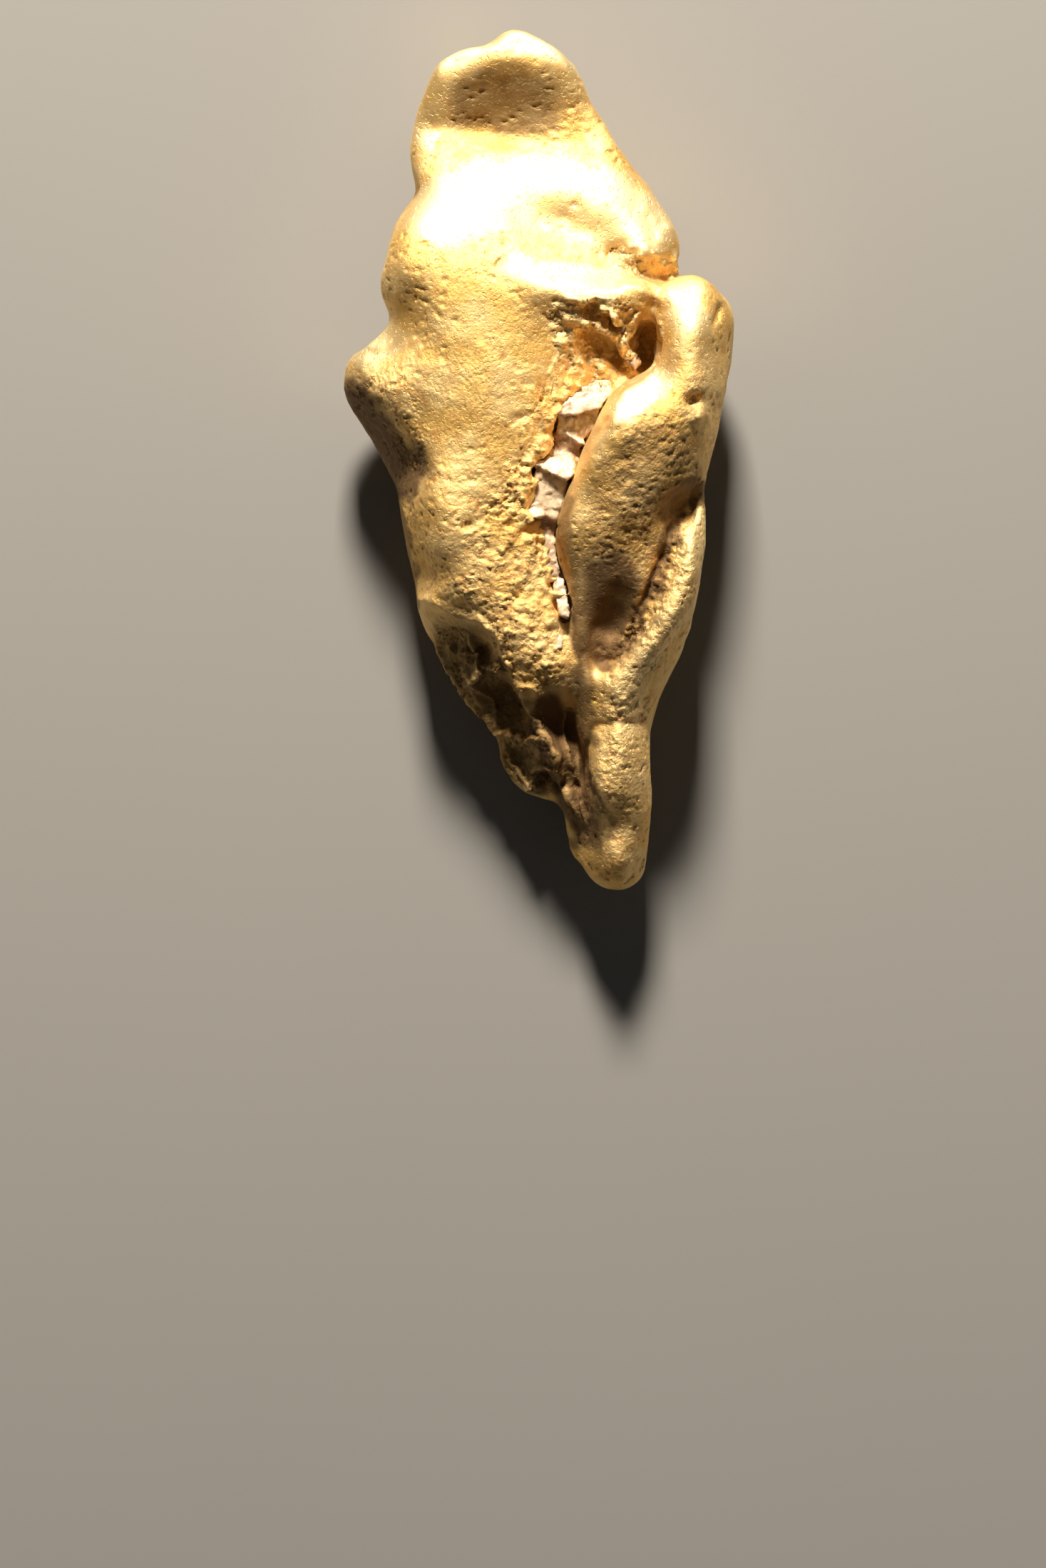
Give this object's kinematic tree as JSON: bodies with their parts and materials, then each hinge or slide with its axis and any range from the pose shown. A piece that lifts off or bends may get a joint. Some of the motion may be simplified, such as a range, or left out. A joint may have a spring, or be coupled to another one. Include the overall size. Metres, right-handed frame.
{
  "type": "gold nugget",
  "caption": "Water-worn gold nugget with a concave head, a thick fold, a tail, scooped hollows and a vein of pale quartz; lies on its back.",
  "frame": {"origin": "on the resting surface, below the middle of the nugget's box", "axes": "+Y from the tail to the head, +Z out of the front face, +X to the side of the thick fold"},
  "size_m": [0.0498, 0.11, 0.0282],
  "materials": {
    "gold": "satin native gold, finely pitted and grainy, brown in the hollows",
    "quartz": "milky vein quartz, glassy on its broken faces"
  },
  "bodies": {
    "root": {"nugget": "gold", "quartz_vein": "quartz"}
  },
  "joints": []
}
